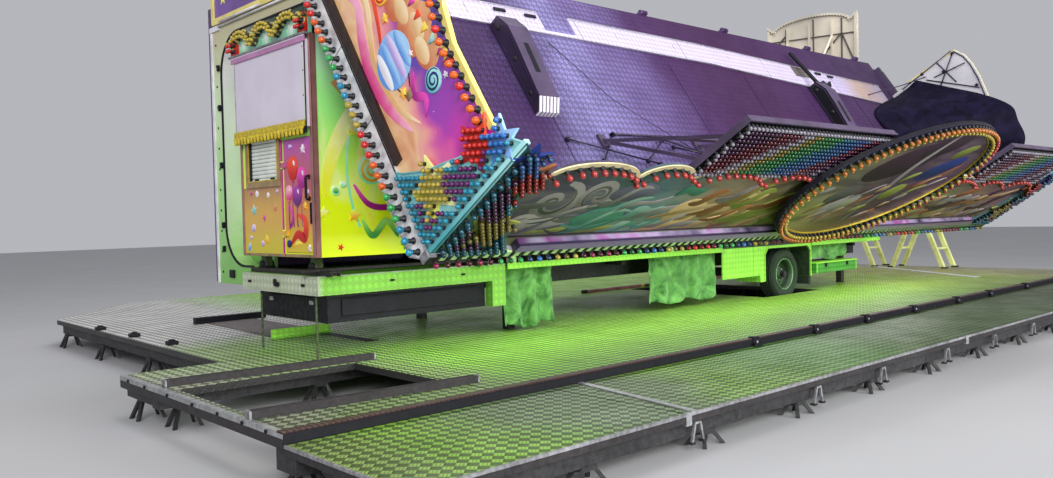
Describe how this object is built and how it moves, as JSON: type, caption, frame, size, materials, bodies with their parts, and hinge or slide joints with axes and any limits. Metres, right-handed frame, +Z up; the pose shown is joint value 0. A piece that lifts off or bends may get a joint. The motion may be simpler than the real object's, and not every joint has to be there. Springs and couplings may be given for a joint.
{
  "type": "children's track ride trailer",
  "caption": "Fairground ride trailer half set up: folded roof wing with a bulb-lit painted fascia, ticket booth, gable boards and tread-plate decking on trestles.",
  "frame": {"origin": "centre of the whole footprint, at the level of the ground under the trestles and jack feet", "axes": "+X along the trailer from its front to its rear, +Y away from the side where the roof wing hangs, +Z up"},
  "size_m": [16.95, 11.949, 5.35],
  "materials": {
    "tread": "tread plate, worn",
    "steel": "dark, satin",
    "white": "satin",
    "violet": "violet paint on tread plate",
    "mint": "satin",
    "lime": "painted board, gloss",
    "gold": "gold trim",
    "aqua": "painted board",
    "purple": "gloss paint",
    "picture": "painted board",
    "painted": "painted board",
    "rubber": "rubber",
    "tarp": "coated fabric",
    "black": "satin black",
    "black_tarp": "coated fabric",
    "cream": "satin",
    "pink": "painted wood"
  },
  "bodies": {
    "trailer": {"bearer_far_edge": "steel", "bearer_far_inner": "steel", "bearer_inner": "steel", "bearer_outer": "steel", "bearer_seam": "steel", "booth_body": "lime", "booth_crest": "gold", "booth_shutter": "white", "booth_sign_panel": "white", "booth_valance": "gold", "booth_window_frame": "gold", "chassis": "steel", "deck_far_left": "tread", "deck_far_right": "tread", "deck_left": "tread", "deck_near_left": "tread", "deck_near_right": "tread", "deck_pole": "pink", "far_wing": "violet", "front_gable": "purple", "hatch_rail_far": "steel", "hatch_rail_near": "steel", "near_side_frame": "white", "outer_row_left": "tread", "outer_row_right": "tread", "portal": "mint", "portal_panel": "mint", "rear_gable": "white", "rear_portal": "mint", "rear_trestle": "cream", "roof": "violet", "step_platform": "tread", "step_recess_box": "black", "tarp_front": "tarp", "tarp_middle": "tarp", "tarp_rear": "tarp", "toolbox": "tread", "wheel_skirt": "tread"},
    "near_wing": {"border_strip": "white", "end_board_left": "picture", "end_board_right": "picture", "fascia_left": "painted", "fascia_right": "painted", "front_ledge": "purple", "lift_arm_left": "black", "lift_arm_right": "black", "near_wing": "violet", "ornament_left": "purple", "ornament_right": "purple", "oval_board": "painted", "star_board_left": "aqua", "star_board_right": "aqua", "tarpaulin": "black_tarp", "wing_band": "tread"},
    "booth_door": {"booth_door": "gold"},
    "wheel_near": {"wheel_near": "rubber"},
    "wheel_far": {"wheel_far": "rubber"}
  },
  "joints": [
    {"name": "near_wing_hinge", "type": "hinge", "parent": "trailer", "child": "near_wing", "pos_m": [-1.475, -2.22045, 4.27], "axis": [-1, 0, 0], "range_deg": [0, 56]},
    {"name": "booth_door_hinge", "type": "hinge", "parent": "trailer", "child": "booth_door", "pos_m": [-6.939, -1.61346, 1.9], "axis": [0, 0, -1], "range_deg": [0, 100]},
    {"name": "wheel_near_spin", "type": "hinge", "parent": "trailer", "child": "wheel_near", "pos_m": [1.315, -2.02546, 0.66], "axis": [0, 1, 0], "continuous": true},
    {"name": "wheel_far_spin", "type": "hinge", "parent": "trailer", "child": "wheel_far", "pos_m": [1.315, 0.12455, 0.66], "axis": [0, 1, 0], "continuous": true}
  ]
}
